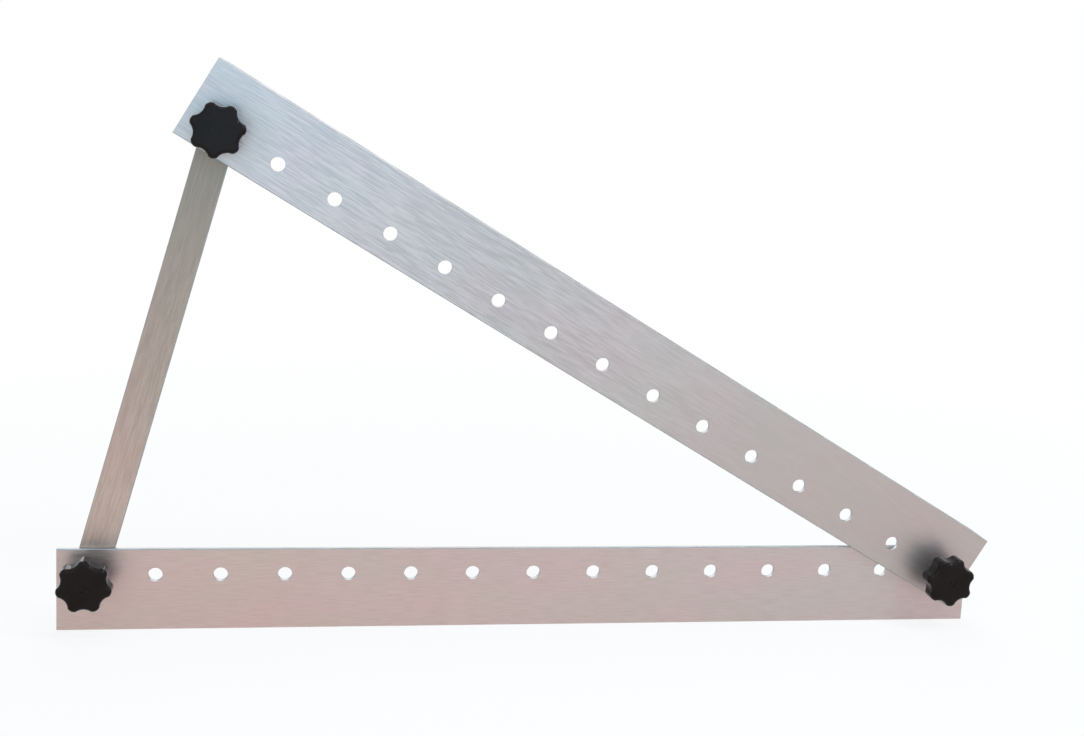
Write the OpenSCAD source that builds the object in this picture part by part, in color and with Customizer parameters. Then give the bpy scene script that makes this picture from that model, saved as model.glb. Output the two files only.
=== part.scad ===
// Adjustable tilt mount bracket for a solar panel.
// Two equal drilled and slotted angle bars meet at the apex, and a prop leg holds them open.
// X runs along the base bar from the foot bolt to the apex bolt, Z is up.
// Y = 0 is the plane where the webs of the two bars meet, and +Y is the flange side.

/* [Long bars] */
// Distance between two pivot holes
hole_pitch = 38; // [30:0.5:50]
// Number of pivot holes, and of slots, in each bar
hole_count = 15; // [8:1:20]
// Height of the drilled web
web_w = 50; // [40:0.5:70]
// Width of the slotted flange
flange_w = 25; // [22:0.5:40]
// Wall thickness of both long bars
bar_wall = 3; // [2:0.25:5]
// Distance from the web's free edge to the line of pivot holes
hole_edge = 16; // [12:0.5:20]
// Diameter of a pivot hole
hole_d = 8.5; // [7:0.1:10]
// From the first pivot hole to the bar's near end
near_margin = 18.5; // [16:0.5:30]
// From the last pivot hole to the bar's far end
far_margin = 21; // [18:0.5:35]
// Radius inside the corner of a bar
bar_fillet = 1.5; // [0.5:0.25:3]
// Radius on the free edges of a bar
edge_r = 0.5; // [0.2:0.1:0.9]

/* [Flange slots] */
// Length of a slot from end to end
slot_l = 24.5; // [14:0.5:28]
// Width of a slot
slot_w = 7; // [5:0.25:9]
// How far each slot sits past its pivot hole, towards the bar's far end
slot_shift = 5.5; // [0:0.5:8]
// From the bar's heel to the centre line of the slots
slot_line = 14.5; // [12:0.5:16]

/* [Prop leg] */
// Distance between the two holes of the leg
leg_span = 276; // [120:1:340]
// Width of the drilled face
leg_w = 20; // [18:0.5:30]
// Width of the stiffening flange
leg_flange_w = 20; // [10:0.5:30]
// Wall thickness of the leg
leg_wall = 3; // [2:0.25:5]
// From a hole to the end of the leg
leg_margin = 12; // [9:0.5:20]
// Radius inside the corner of the leg
leg_fillet = 0.4; // [0.2:0.1:0.5]

/* [Star knobs] */
// Diameter over the lobes
knob_d = 32; // [28:0.5:40]
// Number of lobes
lobe_count = 7; // [5:1:8]
// Radius of a lobe's tip
lobe_r = 4.2; // [3.5:0.1:5]
// Radius of the hollow between two lobes
hollow_r = 7; // [6:0.1:9]
// How far a hollow cuts past where it would just touch its lobes
hollow_bite = 0.25; // [0.15:0.05:0.6]
// Height from the seat of the hub to the face
knob_h = 21; // [18:0.5:26]
// Thickness of the lobed head
head_h = 12; // [9:0.5:14]
// Radius of the head's edges as a share of a lobe's radius
head_round = 0.52; // [0.51:0.01:0.7]
// Diameter of the hub
hub_d = 15; // [12:0.5:18]
// Width of the cone that joins the hub to the head
hub_flare = 2.5; // [1:0.25:3]
// Diameter of the dimple in the middle of the face
dimple_d = 5; // [4:0.5:7]
// Depth of the dimple
dimple_h = 0.4; // [0.2:0.1:0.8]
// Diameter of the moulding nib in the dimple
nib_d = 1.8; // [1:0.1:2.5]
// Angle of the apex knob's lobes
apex_knob_turn = 17; // [0:1:51]
// Angle of the crest knob's lobes
crest_knob_turn = 4; // [0:1:51]
// Angle of the foot knob's lobes
foot_knob_turn = 39; // [0:1:51]

/* [Studs] */
// Diameter of the stud's thread
stud_d = 6; // [5:0.5:8]
// Diameter of the collar that is moulded into the hub
collar_d = 9.5; // [9:0.25:11]
// Height of the collar
collar_h = 6; // [4:0.5:8]
// Length of stud that stands past the nut at the crest
stud_proud = 3.2; // [1:0.1:8]
// Length of the cone at the stud's tip
tip_h = 0.8; // [0.4:0.1:1]

/* [Washers] */
// Diameter of a flat washer
washer_d = 12; // [10.5:0.5:13]
// Thickness of a flat washer
washer_h = 1.6; // [1:0.1:2.5]
// Gap around the stud in a flat washer or the spacer
washer_gap = 0.2; // [0.1:0.05:0.4]
// Diameter of a spring washer
spring_d = 11.8; // [10:0.1:12]
// Thickness of a spring washer
spring_h = 1.6; // [1:0.1:2.5]
// Gap around the stud in a spring washer
spring_gap = 0.1; // [0.1:0.05:0.3]
// Width of the split in a spring washer
split_w = 0.9; // [0.5:0.1:1.5]
// Slant of the split
split_slant = 25; // [0:1:35]
// Angle at which the split of the apex spring washer lies
apex_split_turn = 70; // [0:1:359]
// Angle at which the split of the crest spring washer lies
crest_split_turn = 340; // [0:1:359]
// Angle at which the split of the foot spring washer lies
foot_split_turn = 30; // [0:1:359]
// Diameter of the spacer between the upper bar and the leg
spacer_d = 16; // [12:0.5:18]

/* [Wing nuts] */
// Diameter of the nut's seat
nut_seat_d = 13; // [12:0.25:14]
// Diameter of the top of the nut's hub
nut_top_d = 11; // [10:0.25:12]
// Height of the nut's hub
nut_hub_h = 8; // [6:0.5:10]
// Height over the wings
nut_h = 17; // [14:0.5:20]
// Width over the wings
nut_span = 33; // [28:0.5:36]
// Thickness of a wing
wing_t = 2.8; // [2:0.1:3.5]
// Radius of a wing's tip
wing_tip_r = 5; // [4:0.1:5.5]
// Radius of a wing's root
wing_root_r = 3.6; // [3:0.1:3.8]
// How deep the centre of a wing's root sits in the hub
wing_bury = 1; // [0.5:0.1:1.5]
// Running gap between the stud and the nut
thread_gap = 0.05; // [0.02:0.01:0.1]
// Gap between a nut's seat and the flange of the leg
nut_gap = 0.5; // [0.3:0.1:1.5]
// Angle between the apex nut's wings and the base bar
apex_nut_turn = 35; // [0:1:180]
// Angle between the crest nut's wings and the leg
crest_nut_turn = 15; // [-16:1:16]
// Angle between the foot nut's wings and the leg
foot_nut_turn = -5; // [-16:1:16]

/* [Hidden] */

$fn = 64;
// How far a cutting shape runs past the face that it cuts
cut = 1;

// Long bars: distance between the end holes, whole length, and height of the hole line
span = (hole_count - 1) * hole_pitch;
bar_l = near_margin + span + far_margin;
hole_z = web_w - hole_edge;

// The two bars and the leg make a triangle with two equal sides
tilt = 2 * asin(leg_span / (2 * span));
leg_lean = 90 - tilt / 2;
apex_x = span;
apex_z = hole_z;
crest_x = span - span * cos(tilt);
crest_z = hole_z + span * sin(tilt);
foot_x = 0;
foot_z = hole_z;

// From the hole of the leg to its flanged edge, so that a nut clears the flange
leg_hole_edge = leg_wall + nut_seat_d / 2 + nut_gap;

// Y of the faces that washers and knobs sit on
panel_outer_y = -bar_wall;
base_outer_y = 0;
base_inner_y = bar_wall;
leg_inner_y = bar_wall + leg_wall;

// One stud length serves all three bolts, so the thickest stack at the crest sets it
crest_stack = bar_wall + bar_wall + leg_wall;
stud_l = washer_h + crest_stack + washer_h + spring_h + nut_hub_h + stud_proud;

// Star outline: arcs of lobes and hollows that meet, on two circles of centres
half_step = 180 / lobe_count;
lobe_ring = knob_d / 2 - lobe_r;
touch_ring = lobe_ring * cos(half_step) + sqrt(pow(lobe_r + hollow_r, 2) - pow(lobe_ring * sin(half_step), 2));
hollow_ring = touch_ring - hollow_bite;
head_r = head_round * lobe_r;
hub_h = knob_h - head_h;

// A flat strip along +X with a square root and rounded corners at its free end
module strip_2d(length, thick, r) {
    square([length - r, thick]);
    translate([length - r, r])
        square([r, thick - 2 * r]);
    for (side = [r, thick - r])
        translate([length - r, side])
            circle(r);
}

// Section of an angle: one leg along +X, the other along +Y, heel at the origin
module angle_2d(along_x, along_y, thick, fillet, r) {
    strip_2d(along_x, thick, r);
    mirror([1, -1, 0])
        strip_2d(along_y, thick, r);
    translate([thick, thick])
        difference() {
            square(fillet);
            translate([fillet, fillet])
                circle(fillet);
        }
}

// Hull of two circles on a line of centres at any angle, built from arcs and their tangents
module link_2d(c1, r1, c2, r2) {
    run = c2 - c1;
    heading = atan2(run[1], run[0]);
    spread = acos((r1 - r2) / norm(run));
    translate(c1)
        circle(r1);
    translate(c2)
        circle(r2);
    polygon([
        c1 + r1 * [cos(heading + spread), sin(heading + spread)],
        c1 + r1 * [cos(heading - spread), sin(heading - spread)],
        c2 + r2 * [cos(heading - spread), sin(heading - spread)],
        c2 + r2 * [cos(heading + spread), sin(heading + spread)]
    ]);
}

// Places a section so that it runs along +X, with its own X inward and its own Y up
module run_along_x(length) {
    rotate([90, 0, 90])
        linear_extrude(length)
            children();
}

// A drill along Y, from just outside the face to just inside
module drill_y(x, z, depth) {
    translate([x, -cut, z])
        rotate([-90, 0, 0])
            cylinder(d = hole_d, h = depth + 2 * cut);
}

// A slot cutter along X, centred on its own origin
module slot_cutter(depth) {
    reach = (slot_l - slot_w) / 2;
    translate([-reach, -slot_w / 2, 0])
        cube([2 * reach, slot_w, depth]);
    for (side = [-1, 1])
        translate([side * reach, 0, 0])
            cylinder(d = slot_w, h = depth);
}

// The long bar, heel on the X axis, first pivot hole at X = 0, flange at the bottom
module long_bar() {
    difference() {
        translate([-near_margin, 0, 0])
            run_along_x(bar_l)
                angle_2d(flange_w, web_w, bar_wall, bar_fillet, edge_r);
        for (i = [0 : hole_count - 1]) {
            drill_y(i * hole_pitch, hole_z, bar_wall);
            translate([i * hole_pitch + slot_shift, slot_line, -cut])
                slot_cutter(bar_wall + 2 * cut);
        }
    }
}

module base_bar() {
    color("#c3bcb9")
        long_bar();
}

module panel_bar() {
    color("#c8cacd")
        translate([apex_x, panel_outer_y, apex_z])
            rotate([0, tilt - 180, 0])
                translate([0, 0, -hole_z])
                    long_bar();
}

// The prop leg, an angle with its flange on the outer edge, drilled at both ends
module prop_leg() {
    color("#aaa39c")
        translate([foot_x, base_inner_y, foot_z])
            rotate([0, -leg_lean, 0])
                difference() {
                    translate([-leg_margin, 0, leg_hole_edge])
                        run_along_x(leg_span + 2 * leg_margin)
                            mirror([0, 1, 0])
                                angle_2d(leg_flange_w, leg_w, leg_wall, leg_fillet, edge_r);
                    drill_y(0, 0, leg_wall);
                    drill_y(leg_span, 0, leg_wall);
                }
}

// Right half of the section of a lobe: a round bar with rounded edges
module lobe_2d() {
    square([lobe_r - head_r, head_h]);
    translate([0, head_r])
        square([lobe_r, head_h - 2 * head_r]);
    for (z = [head_r, head_h - head_r])
        translate([lobe_r - head_r, z])
            intersection() {
                circle(head_r);
                translate([head_r - lobe_r, -head_r])
                    square([lobe_r, 2 * head_r]);
            }
}

// Section of the cutter for a hollow, flared so that it rounds the edges of the head
module hollow_2d() {
    translate([0, -cut])
        square([hollow_r, head_h + 2 * cut]);
    for (end = [0, 1])
        translate([0, end * head_h])
            mirror([0, end, 0]) {
                translate([0, -cut])
                    square([hollow_r + head_r, cut]);
                translate([hollow_r, 0])
                    difference() {
                        square(head_r);
                        translate([head_r, head_r])
                            circle(head_r);
                    }
            }
}

// The lobed head: a star of lobes and hollows whose edges are all rounded by head_r
module knob_head() {
    difference() {
        union() {
            linear_extrude(head_h)
                polygon([
                    for (i = [0 : 2 * lobe_count - 1])
                        let (ring = i % 2 == 0 ? lobe_ring : hollow_ring)
                        ring * [cos(i * half_step), sin(i * half_step)]
                ]);
            for (i = [0 : lobe_count - 1])
                rotate([0, 0, 2 * i * half_step])
                    translate([lobe_ring, 0, 0])
                        rotate_extrude()
                            lobe_2d();
        }
        for (i = [0 : lobe_count - 1])
            rotate([0, 0, (2 * i + 1) * half_step])
                translate([hollow_ring, 0, 0])
                    rotate_extrude()
                        hollow_2d();
    }
}

// A star knob with its seat at Z = 0 and its face at the top
module star_knob() {
    color("#161617")
        difference() {
            union() {
                cylinder(d = hub_d, h = hub_h);
                translate([0, 0, hub_h - hub_flare])
                    cylinder(d1 = hub_d, d2 = hub_d + 2 * hub_flare, h = hub_flare);
                translate([0, 0, hub_h])
                    knob_head();
            }
            translate([0, 0, -cut])
                cylinder(d = collar_d, h = collar_h + cut);
            translate([0, 0, knob_h - dimple_h])
                difference() {
                    cylinder(d = dimple_d, h = dimple_h + cut);
                    cylinder(d = nib_d, h = dimple_h);
                }
        }
}

// The knob's stud with its seat plane at Z = 0: collar above it, thread below
module knob_stud() {
    color("#c9ccd2") {
        cylinder(d = collar_d, h = collar_h);
        translate([0, 0, tip_h - stud_l])
            cylinder(d = stud_d, h = stud_l - tip_h);
        translate([0, 0, -stud_l])
            cylinder(d1 = stud_d - 2 * tip_h, d2 = stud_d, h = tip_h);
    }
}

module flat_ring(outer_d, gap, height) {
    difference() {
        cylinder(d = outer_d, h = height);
        translate([0, 0, -cut])
            cylinder(d = stud_d + 2 * gap, h = height + 2 * cut);
    }
}

module flat_washer() {
    color("#cfd2d6")
        flat_ring(washer_d, washer_gap, washer_h);
}

// A spring washer pressed flat, with its slanted split
module spring_washer() {
    color("#b9bcc0")
        difference() {
            flat_ring(spring_d, spring_gap, spring_h);
            translate([spring_d / 2, 0, spring_h / 2])
                rotate([split_slant, 0, 0])
                    cube([spring_d, split_w, 3 * spring_h], center = true);
        }
}

// A wing nut with its seat at Z = 0 and its wings along X
module wing_nut() {
    color("#d3d6da")
        difference() {
            union() {
                cylinder(d1 = nut_seat_d, d2 = nut_top_d, h = nut_hub_h);
                for (side = [0, 180])
                    rotate([90, 0, side])
                        linear_extrude(wing_t, center = true)
                            link_2d(
                                [nut_top_d / 2 - wing_bury, nut_hub_h / 2],
                                wing_root_r,
                                [nut_span / 2 - wing_tip_r, nut_h - wing_tip_r],
                                wing_tip_r
                            );
            }
            translate([0, 0, -cut])
                cylinder(d = stud_d + 2 * thread_gap, h = nut_h + 2 * cut);
        }
}

// Puts a part on a bolt, its own Z pointing out past the knobs
module facing_out(x, y, z, turn) {
    translate([x, y, z])
        rotate([90, 0, 0])
            rotate([0, 0, turn])
                children();
}

// Puts a part on a bolt, its own Z pointing in past the nuts
module facing_in(x, y, z, turn) {
    translate([x, y, z])
        rotate([-90, 0, 0])
            rotate([0, 0, -turn])
                children();
}

// Knob side of each bolt, from the bar's outer face outwards
module apex_outer_washer() {
    facing_out(apex_x, panel_outer_y, apex_z, 0)
        flat_washer();
}

module apex_knob() {
    facing_out(apex_x, panel_outer_y - washer_h, apex_z, apex_knob_turn)
        star_knob();
}

module apex_stud() {
    facing_out(apex_x, panel_outer_y - washer_h, apex_z, 0)
        knob_stud();
}

module crest_outer_washer() {
    facing_out(crest_x, panel_outer_y, crest_z, 0)
        flat_washer();
}

module crest_knob() {
    facing_out(crest_x, panel_outer_y - washer_h, crest_z, crest_knob_turn)
        star_knob();
}

module crest_stud() {
    facing_out(crest_x, panel_outer_y - washer_h, crest_z, 0)
        knob_stud();
}

module foot_outer_washer() {
    facing_out(foot_x, base_outer_y, foot_z, 0)
        flat_washer();
}

module foot_knob() {
    facing_out(foot_x, base_outer_y - washer_h, foot_z, foot_knob_turn)
        star_knob();
}

module foot_stud() {
    facing_out(foot_x, base_outer_y - washer_h, foot_z, 0)
        knob_stud();
}

// Nut side of each bolt, from the inner face inwards
module apex_inner_washer() {
    facing_in(apex_x, base_inner_y, apex_z, 0)
        flat_washer();
}

module apex_spring_washer() {
    facing_in(apex_x, base_inner_y + washer_h, apex_z, apex_split_turn)
        spring_washer();
}

module apex_wing_nut() {
    facing_in(apex_x, base_inner_y + washer_h + spring_h, apex_z, apex_nut_turn)
        wing_nut();
}

module crest_inner_washer() {
    facing_in(crest_x, leg_inner_y, crest_z, 0)
        flat_washer();
}

module crest_spring_washer() {
    facing_in(crest_x, leg_inner_y + washer_h, crest_z, crest_split_turn)
        spring_washer();
}

module crest_wing_nut() {
    facing_in(crest_x, leg_inner_y + washer_h + spring_h, crest_z, leg_lean + crest_nut_turn)
        wing_nut();
}

module foot_inner_washer() {
    facing_in(foot_x, leg_inner_y, foot_z, 0)
        flat_washer();
}

module foot_spring_washer() {
    facing_in(foot_x, leg_inner_y + washer_h, foot_z, foot_split_turn)
        spring_washer();
}

module foot_wing_nut() {
    facing_in(foot_x, leg_inner_y + washer_h + spring_h, foot_z, leg_lean + foot_nut_turn)
        wing_nut();
}

// Fills the gap that the base bar's wall leaves between the upper bar and the leg
module crest_spacer() {
    color("#bfc2c6")
        facing_in(crest_x, 0, crest_z, 0)
            flat_ring(spacer_d, washer_gap, bar_wall);
}

base_bar();
panel_bar();
prop_leg();
crest_spacer();
apex_knob();
apex_stud();
apex_outer_washer();
apex_inner_washer();
apex_spring_washer();
apex_wing_nut();
crest_knob();
crest_stud();
crest_outer_washer();
crest_inner_washer();
crest_spring_washer();
crest_wing_nut();
foot_knob();
foot_stud();
foot_outer_washer();
foot_inner_washer();
foot_spring_washer();
foot_wing_nut();
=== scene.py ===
"""Finishes, threads, worn edges, floor, light and camera of the solar panel tilt bracket."""

from math import asin, cos, pi, radians, sin

import bmesh
import bpy
from mathutils import Matrix, Vector


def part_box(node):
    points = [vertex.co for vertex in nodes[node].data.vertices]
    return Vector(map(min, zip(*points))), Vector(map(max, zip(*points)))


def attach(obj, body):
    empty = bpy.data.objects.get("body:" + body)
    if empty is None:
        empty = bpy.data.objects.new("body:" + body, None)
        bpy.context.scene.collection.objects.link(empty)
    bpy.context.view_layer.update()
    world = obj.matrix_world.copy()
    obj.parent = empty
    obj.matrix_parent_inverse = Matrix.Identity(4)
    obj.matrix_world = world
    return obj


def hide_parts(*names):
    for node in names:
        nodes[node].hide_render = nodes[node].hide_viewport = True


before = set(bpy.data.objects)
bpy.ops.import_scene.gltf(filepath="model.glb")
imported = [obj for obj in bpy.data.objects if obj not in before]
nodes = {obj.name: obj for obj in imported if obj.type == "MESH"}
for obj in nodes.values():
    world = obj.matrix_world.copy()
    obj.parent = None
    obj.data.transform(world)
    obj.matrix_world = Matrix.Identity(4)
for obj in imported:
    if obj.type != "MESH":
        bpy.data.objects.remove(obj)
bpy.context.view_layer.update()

BOLTS = ("apex", "crest", "foot")

# Places on the bracket, in metres
BAR_SPAN = 0.532
LEG_SPAN = 0.276
TILT = 2 * asin(LEG_SPAN / (2 * BAR_SPAN))
LEG_LEAN = radians(90) - TILT / 2
MIDDLE = (0.27, 0.0, 0.15)

# The M6 thread of the studs, and the collar that is moulded into the knob
THREAD_PITCH = 0.001
THREAD_CREST = 0.00298
THREAD_ROOT = 0.00245
THREAD_STEPS = 24
TOOTH = (  # radius and place along the stud
    (THREAD_ROOT, 0.0), (THREAD_CREST, 0.0004), (THREAD_CREST, 0.00055),
    (THREAD_ROOT, 0.00095), (THREAD_ROOT, THREAD_PITCH))
TIP_CONE = 0.0008
COLLAR_HEIGHT = 0.006
COLLAR_GAP = 0.0001

# Edge roundings: deburred bars, cast wing nuts and pressed washers
DEBURRED = 0.0003
CAST = 0.0006
PRESSED = 0.00025

# Faces longer and narrower than this are the filed edges of a bar, darkened as painted shade
LONG_EDGE = 0.2
NARROW_STRIP = 0.0006

# Faces larger than this, and those in line with them, are shaded flat
BROAD_FACE = 0.00002
IN_LINE = 0.9999

# The three finishes of a bar, in the order of its materials
FRONT, MILL, PAINTED_SHADE_EDGE = range(3)

# Brushed metal: marks in a metre along the bar, across it and through it
HAIRLINES = (75, 1500, 1500)
BROAD_LINES = (26, 750, 750)
CLOUDS = (6, 16, 16)
RUB_MARKS = (16, 34, 34)

PLAIN = (1, 1, 1)
WHITE = (1, 1, 1, 1)


def shader(name):
    """A new material with its node tree and its Principled shader."""
    material = bpy.data.materials.new(name)
    material.use_nodes = True
    tree = material.node_tree
    return material, tree, tree.nodes["Principled BSDF"]


def add(tree, kind, **settings):
    """A new node of a material or of the world."""
    node = tree.nodes.new(kind)
    for key, value in settings.items():
        setattr(node, key, value)
    return node


def object_space(tree, turn_y, stretch):
    """Object coordinates turned about Y to lie along a bar, then stretched along it."""
    coordinates = add(tree, "ShaderNodeTexCoord")
    turned = add(tree, "ShaderNodeMapping")
    turned.inputs["Rotation"].default_value = (0, turn_y, 0)
    stretched = add(tree, "ShaderNodeMapping")
    stretched.inputs["Scale"].default_value = stretch
    tree.links.new(coordinates.outputs["Object"], turned.inputs["Vector"])
    tree.links.new(turned.outputs["Vector"], stretched.inputs["Vector"])
    return stretched.outputs["Vector"]


def place_along(tree, turn_y):
    """How far along its bar a point lies, in metres."""
    axes = add(tree, "ShaderNodeSeparateXYZ")
    tree.links.new(object_space(tree, turn_y, PLAIN), axes.inputs["Vector"])
    return axes.outputs["X"]


def noise(tree, vector, scale=1, detail=2, roughness=0.5):
    """A cloudy texture. Detail is how fine its finest marks are."""
    texture = add(tree, "ShaderNodeTexNoise")
    texture.inputs["Scale"].default_value = scale
    texture.inputs["Detail"].default_value = detail
    texture.inputs["Roughness"].default_value = roughness
    tree.links.new(vector, texture.inputs["Vector"])
    return texture.outputs["Fac"]


def spread(tree, value, low, high, start=0.3, end=0.7):
    """Remaps a value's range from start to end, by default a texture's middle, to low..high."""
    remap = add(tree, "ShaderNodeMapRange")
    remap.inputs["From Min"].default_value = start
    remap.inputs["From Max"].default_value = end
    remap.inputs["To Min"].default_value = low
    remap.inputs["To Max"].default_value = high
    tree.links.new(value, remap.inputs["Value"])
    return remap.outputs["Result"]


def blended(tree, a, b, share):
    """Two textures laid over each other, with the given share of the second."""
    mix = add(tree, "ShaderNodeMix", data_type="FLOAT")
    mix.inputs["Factor"].default_value = share
    tree.links.new(a, mix.inputs["A"])
    tree.links.new(b, mix.inputs["B"])
    return mix.outputs["Result"]


def tinted(tree, amount, dark, pale):
    """A colour between dark and pale."""
    mix = add(tree, "ShaderNodeMix", data_type="RGBA")
    mix.inputs["A"].default_value = (*dark, 1)
    mix.inputs["B"].default_value = (*pale, 1)
    tree.links.new(amount, mix.inputs["Factor"])
    return mix.outputs["Result"]


def multiplied(tree, colour, tint):
    """One colour times another."""
    mix = add(tree, "ShaderNodeMix", data_type="RGBA", blend_type="MULTIPLY")
    mix.inputs["Factor"].default_value = 1
    tree.links.new(colour, mix.inputs["A"])
    tree.links.new(tint, mix.inputs["B"])
    return mix.outputs["Result"]


def bumped(tree, height, strength, depth):
    """A surface normal roughened by a texture."""
    bump = add(tree, "ShaderNodeBump")
    bump.inputs["Strength"].default_value = strength
    bump.inputs["Distance"].default_value = depth
    tree.links.new(height, bump.inputs["Height"])
    return bump.outputs["Normal"]


def rubbed_smooth(tree, value, turn_y, start, end, share):
    """Evens out a texture slowly along the bar, as handling rubs brush lines away."""
    mix = add(tree, "ShaderNodeMix", data_type="FLOAT")
    mix.inputs["B"].default_value = 0.5
    rubbed = spread(tree, place_along(tree, turn_y), 0, share, start, end)
    tree.links.new(rubbed, mix.inputs["Factor"])
    tree.links.new(value, mix.inputs["A"])
    return mix.outputs["Result"]


def brushed_aluminium(
        name, turn_y, dark, pale, rough_low, rough_high,
        grain=0.16, glancing=0.6, rubbed=(0, 1, 0)):
    """Satin aluminium with brush lines along the bar, faint clouds and rub marks.
    Glancing is how bright it stays where it is seen at a low angle. Rubbed is where
    the brush lines start to fade along the bar, where that ends, and their share lost."""
    material, tree, surface = shader(name)
    hairlines = noise(tree, object_space(tree, turn_y, HAIRLINES), roughness=0.6)
    fine = spread(tree, hairlines, 0, 1, 0.38, 0.62)
    broad = noise(tree, object_space(tree, turn_y, BROAD_LINES))
    cloudy = noise(tree, object_space(tree, turn_y, CLOUDS), detail=4, roughness=0.6)
    patches = noise(tree, object_space(tree, turn_y, RUB_MARKS), detail=3)
    streaky = rubbed_smooth(tree, blended(tree, fine, broad, 0.3), turn_y, *rubbed)
    shade = blended(tree, streaky, cloudy, 0.25)
    colour = tinted(tree, spread(tree, shade, 0, 1), dark, pale)
    tone = tinted(tree, spread(tree, patches, 0, 1), (0.965, 1.02, 0.995), (1.035, 0.98, 1.005))
    tree.links.new(multiplied(tree, colour, tone), surface.inputs["Base Color"])
    tree.links.new(spread(tree, streaky, rough_low, rough_high), surface.inputs["Roughness"])
    tree.links.new(bumped(tree, streaky, grain, depth=0.00004), surface.inputs["Normal"])
    surface.inputs["Metallic"].default_value = 0.8
    surface.inputs["Specular Tint"].default_value = (
        glancing, 1.03 * glancing, 1.06 * glancing, 1)
    return material


def tint_and_painted_light_along(material, turn_y, start, end, tint):
    """Tints a finish along its bar: painted light and shade on the panel bar and the leg."""
    tree = material.node_tree
    surface = tree.nodes["Principled BSDF"]
    reach = spread(tree, place_along(tree, turn_y), 0, 1, start, end)
    untinted = surface.inputs["Base Color"].links[0].from_socket
    along_tint = tinted(tree, reach, PLAIN, tint)
    tree.links.new(multiplied(tree, untinted, along_tint), surface.inputs["Base Color"])


def zinc_plate(name, dark, pale, rough_low, rough_high):
    """Bright zinc on a cast or pressed steel part, with a faint cast grain."""
    material, tree, surface = shader(name)
    space = object_space(tree, 0, PLAIN)
    patches = noise(tree, space, scale=260, detail=3)
    pores = noise(tree, space, scale=1400, detail=4, roughness=0.6)
    colour = tinted(tree, spread(tree, patches, 0, 1), dark, pale)
    tree.links.new(colour, surface.inputs["Base Color"])
    tree.links.new(spread(tree, patches, rough_low, rough_high), surface.inputs["Roughness"])
    tree.links.new(bumped(tree, pores, 0.12, depth=0.00006), surface.inputs["Normal"])
    surface.inputs["Metallic"].default_value = 1.0
    return material


def moulded_black(name):
    """Glossy black moulding with slight flow marks and a cool sheen on its flanks."""
    material, tree, surface = shader(name)
    space = object_space(tree, 0, PLAIN)
    flow = noise(tree, space, scale=90, detail=3)
    specks = noise(tree, space, scale=900, detail=3, roughness=0.55)
    colour = tinted(
        tree, spread(tree, flow, 0, 1), (0.003, 0.0024, 0.0022), (0.007, 0.0052, 0.0048))
    tree.links.new(colour, surface.inputs["Base Color"])
    tree.links.new(spread(tree, flow, 0.07, 0.14), surface.inputs["Roughness"])
    tree.links.new(bumped(tree, specks, 0.05, depth=0.0001), surface.inputs["Normal"])
    surface.inputs["IOR"].default_value = 1.27
    surface.inputs["Specular Tint"].default_value = (1.0, 0.76, 0.7, 1)
    surface.inputs["Sheen Weight"].default_value = 0.4
    surface.inputs["Sheen Roughness"].default_value = 0.25
    surface.inputs["Sheen Tint"].default_value = (0.6, 0.8, 1.0, 1)
    return material


base_bar_finish = brushed_aluminium(
    "base_bar_aluminium", 0, (0.547, 0.388, 0.343), (0.597, 0.424, 0.374), 0.36, 0.44, 0.09)
panel_bar_finish = brushed_aluminium(
    "panel_bar_aluminium", -TILT, (0.47, 0.408, 0.391), (0.594, 0.516, 0.498), 0.33, 0.47,
    rubbed=(0.03, 0.3, 0.85))
leg_finish = brushed_aluminium(
    "leg_aluminium", LEG_LEAN, (0.498, 0.358, 0.296), (0.579, 0.42, 0.348), 0.36, 0.46, 0.1)
# Base bar: a little cooler towards its apex end
tint_and_painted_light_along(base_bar_finish, 0, 0.1, 0.45, (0.935, 1.025, 1.07))
# Panel bar: painted light, warmer and darker towards the apex so that the crest end looks
# cool-lit
tint_and_painted_light_along(panel_bar_finish, -TILT, -0.05, 0.36, (0.905, 0.83, 0.785))
# Leg: painted shade, darker and greyer towards its top
tint_and_painted_light_along(leg_finish, LEG_LEAN, 0.04, 0.3, (0.49, 0.535, 0.505))

mill_colours = (0.47, 0.475, 0.48), (0.61, 0.615, 0.615)
base_bar_mill = brushed_aluminium(
    "base_bar_mill_faces", 0, *mill_colours, 0.28, 0.42, glancing=0.35)
panel_bar_mill = brushed_aluminium(
    "panel_bar_mill_faces", -TILT, *mill_colours, 0.28, 0.42, glancing=0.35)
leg_mill = brushed_aluminium(
    "leg_mill_faces", LEG_LEAN, *mill_colours, 0.34, 0.46, 0.1, 0.35)
# The edges' filed finish is darkened as painted shade: a dark line along each edge and hole rim
filed_edge_painted_shade = brushed_aluminium(
    "filed_edge_painted_shade", 0, (0.28, 0.28, 0.285), (0.4, 0.4, 0.405), 0.4, 0.55, 0.1)

zinc_finish = zinc_plate("bright_zinc", (0.6, 0.62, 0.66), (0.78, 0.8, 0.83), 0.2, 0.34)
spring_finish = zinc_plate("spring_zinc", (0.38, 0.4, 0.44), (0.55, 0.57, 0.6), 0.26, 0.4)
thread_finish = zinc_plate("thread_zinc", (0.5, 0.52, 0.56), (0.7, 0.72, 0.76), 0.2, 0.32)
knob_finish = moulded_black("moulded_black")


def finish_node(name, material):
    """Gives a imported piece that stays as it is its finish."""
    mesh = nodes[name].data
    mesh.materials.clear()
    mesh.materials.append(material)


def shade_by_angle(mesh, angle):
    """Smooth faces with edges sharper than the angle kept crisp."""
    mesh.shade_smooth()
    mesh.set_sharp_from_angle(angle=angle)


def in_line(normal, others):
    """Whether a normal points the same way as one of the others."""
    return any(normal.dot(other) > IN_LINE for other in others)


def keep_broad_faces_flat(mesh):
    """Shades flat each broad face and each sliver that lies in line with one."""
    broad = []
    for face in mesh.polygons:
        if face.area > BROAD_FACE and not in_line(face.normal, broad):
            broad.append(face.normal.copy())
    for face in mesh.polygons:
        face.use_smooth = not in_line(face.normal, broad)


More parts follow.
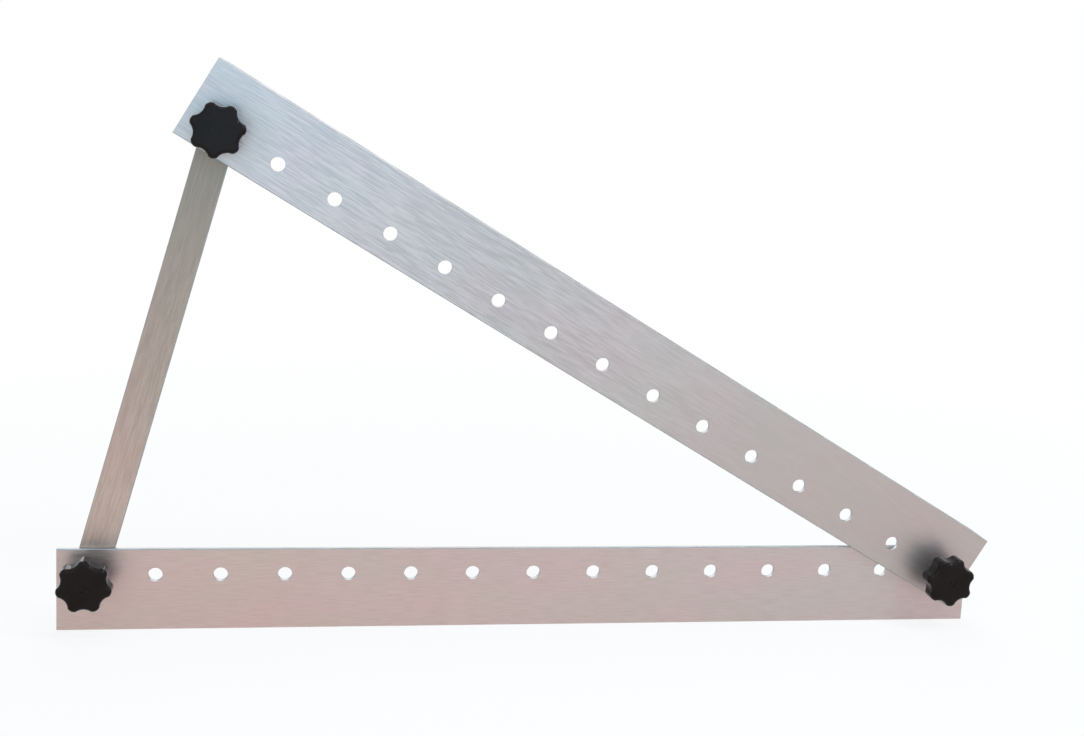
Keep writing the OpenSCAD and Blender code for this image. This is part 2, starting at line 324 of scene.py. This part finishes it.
def place_mesh(name, shape, finishes, body):
    """Makes a bmesh a finished piece that rides a body."""
    bmesh.ops.recalc_face_normals(shape, faces=shape.faces)
    mesh = bpy.data.meshes.new(name)
    shape.to_mesh(mesh)
    shape.free()
    piece = bpy.data.objects.new(name, mesh)
    bpy.context.scene.collection.objects.link(piece)
    for finish in finishes:
        mesh.materials.append(finish)
    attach(piece, body)
    return piece


def threaded_stud(bolt):
    """The knob's stud with a real M6 thread, on the axis of its plain CAD node."""
    low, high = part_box(bolt + "_stud")
    collar_r = (high.x - low.x) / 2
    collar_top = low.y + COLLAR_HEIGHT
    start = collar_top - THREAD_PITCH
    turns = int((high.y - start) / THREAD_PITCH) + 3
    shape = bmesh.new()
    profile = [shape.verts.new((r, start + along, 0)) for r, along in TOOTH]
    edges = [shape.edges.new(pair) for pair in zip(profile, profile[1:])]
    bmesh.ops.spin(
        shape, geom=profile + edges, cent=(0, 0, 0), axis=(0, 1, 0),
        dvec=(0, THREAD_PITCH / THREAD_STEPS, 0),
        angle=2 * pi * turns, steps=THREAD_STEPS * turns, use_merge=False)
    bmesh.ops.remove_doubles(shape, verts=shape.verts, dist=0.000002)
    # Cut square above the collar and at the tip
    for y, outward in ((collar_top + COLLAR_GAP, -1), (high.y, 1)):
        everything = shape.verts[:] + shape.edges[:] + shape.faces[:]
        bmesh.ops.bisect_plane(
            shape, geom=everything, dist=1e-7, plane_co=(0, y, 0), plane_no=(0, outward, 0),
            clear_outer=True)
    # Turn the tip to a cone
    for vertex in shape.verts:
        out = Vector((vertex.co.x, vertex.co.z)).length
        limit = THREAD_CREST - max(0.0, vertex.co.y - (high.y - TIP_CONE))
        if out > limit:
            vertex.co.x *= limit / out
            vertex.co.z *= limit / out
    open_ends = [edge for edge in shape.edges if edge.is_boundary]
    bmesh.ops.holes_fill(shape, edges=open_ends, sides=0)
    bmesh.ops.create_cone(
        shape, cap_ends=True, segments=48, radius1=collar_r, radius2=collar_r,
        depth=COLLAR_HEIGHT,
        matrix=Matrix.Translation((0, low.y + COLLAR_HEIGHT / 2, 0))
        @ Matrix.Rotation(pi / 2, 4, "X"))
    axis = ((low.x + high.x) / 2, 0, (low.z + high.z) / 2)
    bmesh.ops.translate(shape, verts=shape.verts, vec=axis)
    piece = place_mesh(
        bolt + "_threaded_stud", shape, [thread_finish], bolt + "_knob_body")
    shade_by_angle(piece.data, radians(35))
    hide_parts(bolt + "_stud")


def softened(node, width, segments, finishes, body, name, angle=30):
    """A copy of a CAD node with its sharp edges rounded, as casting, pressing or deburring
    leaves them. A bar's three finishes are for its front, its other faces and its edges."""
    shape = bmesh.new()
    shape.from_mesh(nodes[node].data)
    bmesh.ops.remove_doubles(shape, verts=shape.verts, dist=0.000001)
    bmesh.ops.dissolve_limit(
        shape, angle_limit=radians(1), verts=shape.verts, edges=shape.edges)
    sharp = [
        edge for edge in shape.edges
        if len(edge.link_faces) == 2 and edge.calc_face_angle(0) > radians(angle)]
    rounded = bmesh.ops.bevel(
        shape, geom=sharp, offset=width, offset_type="OFFSET", affect="EDGES",
        segments=segments, profile=0.5, material=-1, clamp_overlap=True)
    if len(finishes) == 3:
        shape.normal_update()
        for face in shape.faces:
            longest = max(edge.calc_length() for edge in face.edges)
            if longest > LONG_EDGE and face.calc_area() < longest * NARROW_STRIP:
                face.material_index = PAINTED_SHADE_EDGE
            else:
                face.material_index = FRONT if face.normal.y < -0.9 else MILL
        # Edge roundings take the darker edge finish, painted shade
        for face in rounded["faces"]:
            face.material_index = PAINTED_SHADE_EDGE
    piece = place_mesh(name, shape, finishes, body)
    shade_by_angle(piece.data, radians(40))
    keep_broad_faces_flat(piece.data)
    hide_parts(node)


for bar, finishes, slot in (
    ("base_bar", (base_bar_finish, base_bar_mill, filed_edge_painted_shade), "bar_aluminium"),
    ("panel_bar", (panel_bar_finish, panel_bar_mill, filed_edge_painted_shade), "bar_aluminium"),
    ("prop_leg", (leg_finish, leg_mill, filed_edge_painted_shade), "leg_aluminium"),
):
    softened(bar, DEBURRED, 2, finishes, "bracket", bar + "_deburred", angle=50)
finish_node("crest_spacer", zinc_finish)
for bolt in BOLTS:
    finish_node(bolt + "_knob", knob_finish)
    finish_node(bolt + "_spring_washer", spring_finish)
    threaded_stud(bolt)
    softened(
        bolt + "_wing_nut", CAST, 3, [zinc_finish], bolt + "_nut_body",
        bolt + "_cast_wing_nut")
    for side in ("outer", "inner"):
        softened(
            f"{bolt}_{side}_washer", PRESSED, 2, [zinc_finish], "bracket",
            f"{bolt}_{side}_pressed_washer")


def seen_directly(tree):
    """One where a ray comes from the camera, a gloss or a glass, and nought for all others."""
    ray = add(tree, "ShaderNodeLightPath")
    either = add(tree, "ShaderNodeMath", operation="MAXIMUM")
    tree.links.new(ray.outputs["Is Camera Ray"], either.inputs[0])
    tree.links.new(ray.outputs["Is Glossy Ray"], either.inputs[1])
    any_of_three = add(tree, "ShaderNodeMath", operation="MAXIMUM")
    tree.links.new(either.outputs["Value"], any_of_three.inputs[0])
    tree.links.new(ray.outputs["Is Transmission Ray"], any_of_three.inputs[1])
    return any_of_three.outputs["Value"]


def mixed_shaders(tree, share, first, second):
    """The second shader by its share, and the first for the rest."""
    both = add(tree, "ShaderNodeMixShader")
    tree.links.new(share, both.inputs["Fac"])
    tree.links.new(first, both.inputs[1])
    tree.links.new(second, both.inputs[2])
    return both.outputs["Shader"]


def pale_floor():
    """White floor that keeps the bracket's soft shadow and fades into the backdrop."""
    material, tree, surface = shader("pale_floor")
    surface.inputs["Base Color"].default_value = (0.9, 0.9, 0.9, 1)
    surface.inputs["Roughness"].default_value = 0.9
    surface.inputs["Specular IOR Level"].default_value = 0.0
    place = add(tree, "ShaderNodeTexCoord")
    away = add(tree, "ShaderNodeVectorMath", operation="DISTANCE")
    away.inputs[1].default_value = (MIDDLE[0], MIDDLE[1], 0)
    tree.links.new(place.outputs["Object"], away.inputs[0])
    faded = spread(tree, away.outputs["Value"], 0.84, 1.0, 0.35, 0.95)
    share = add(tree, "ShaderNodeMath", operation="MULTIPLY")
    tree.links.new(seen_directly(tree), share.inputs[0])
    tree.links.new(faded, share.inputs[1])
    white = add(tree, "ShaderNodeEmission")
    white.inputs["Color"].default_value = WHITE
    white.inputs["Strength"].default_value = 1.0
    floor_look = mixed_shaders(
        tree, share.outputs["Value"], surface.outputs["BSDF"], white.outputs["Emission"])
    tree.links.new(floor_look, tree.nodes["Material Output"].inputs["Surface"])
    return material


# Floor, light and camera
floor_shape = bmesh.new()
bmesh.ops.create_circle(floor_shape, cap_ends=True, segments=96, radius=9)
floor_mesh = bpy.data.meshes.new("floor")
floor_shape.to_mesh(floor_mesh)
floor_shape.free()
floor = bpy.data.objects.new("floor", floor_mesh)
bpy.context.scene.collection.objects.link(floor)
floor_mesh.materials.append(pale_floor())


def softbox(name, place, target, width, height, power, colour):
    """A soft lamp that faces the target."""
    lamp = bpy.data.lights.new(name, "AREA")
    lamp.shape = "RECTANGLE"
    lamp.size = width
    lamp.size_y = height
    lamp.energy = power
    lamp.color = colour
    holder = bpy.data.objects.new(name, lamp)
    holder.location = place
    towards = Vector(target) - Vector(place)
    holder.rotation_euler = towards.to_track_quat("-Z", "Y").to_euler()
    holder.visible_camera = False
    bpy.context.scene.collection.objects.link(holder)


softbox("cool_window", (0.0, -2.2, 0.9), (0.0, 0.0, 0.9), 4.0, 1.7, 23, (0.1, 0.62, 1.0))
softbox("warm_fill", (1.9, -1.4, 0.8), MIDDLE, 1.4, 1.4, 2.5, (1.0, 0.88, 0.8))
softbox("top_light", (0.25, 0.2, 2.0), MIDDLE, 3.0, 2.4, 7, (0.9, 0.96, 1.0))
softbox("key_light", (1.0, -0.5, 1.0), MIDDLE, 0.22, 0.22, 3.2, (0.8, 0.92, 1.0))
softbox("ceiling_strip", (0.45, -0.65, 1.6), MIDDLE, 1.8, 0.1, 6, (0.55, 0.8, 1.0))
softbox("back_light", (0.2, 2.0, 1.0), MIDDLE, 2.0, 1.4, 12, (0.97, 0.98, 1.0))

# The world lights the bracket at about half strength and shows as plain white
world = bpy.data.worlds.new("studio")
bpy.context.scene.world = world
world.use_nodes = True
sky = world.node_tree
room = sky.nodes["Background"]
room.inputs["Color"].default_value = WHITE
room.inputs["Strength"].default_value = 0.55
backdrop = add(sky, "ShaderNodeBackground")
backdrop.inputs["Color"].default_value = WHITE
backdrop.inputs["Strength"].default_value = 1.0
world_look = mixed_shaders(
    sky, seen_directly(sky), room.outputs["Background"], backdrop.outputs["Background"])
sky.links.new(world_look, sky.nodes["World Output"].inputs["Surface"])

# The camera of the photograph: place, heading, dip and roll
camera_place = (0.1281, -0.8492, 0.3446)
yaw, pitch, roll = radians(9.879), radians(-8.91), radians(3.067)
ahead = Vector((sin(yaw) * cos(pitch), cos(yaw) * cos(pitch), sin(pitch)))
level = Vector((cos(yaw), -sin(yaw), 0))
upright = level.cross(ahead)
right = cos(roll) * level + sin(roll) * upright
up = -sin(roll) * level + cos(roll) * upright
turned = Matrix((right, up, -ahead)).transposed().to_4x4()
camera_data = bpy.data.cameras.new("camera")
camera_data.sensor_width = 36
camera_data.lens = 47.86
camera_data.shift_x = -0.0203
camera_data.shift_y = -0.0675
camera_data.clip_start = 0.01
camera = bpy.data.objects.new("camera", camera_data)
camera.matrix_world = Matrix.Translation(camera_place) @ turned
bpy.context.scene.collection.objects.link(camera)
bpy.context.scene.camera = camera

bpy.context.scene.view_settings.view_transform = "Standard"
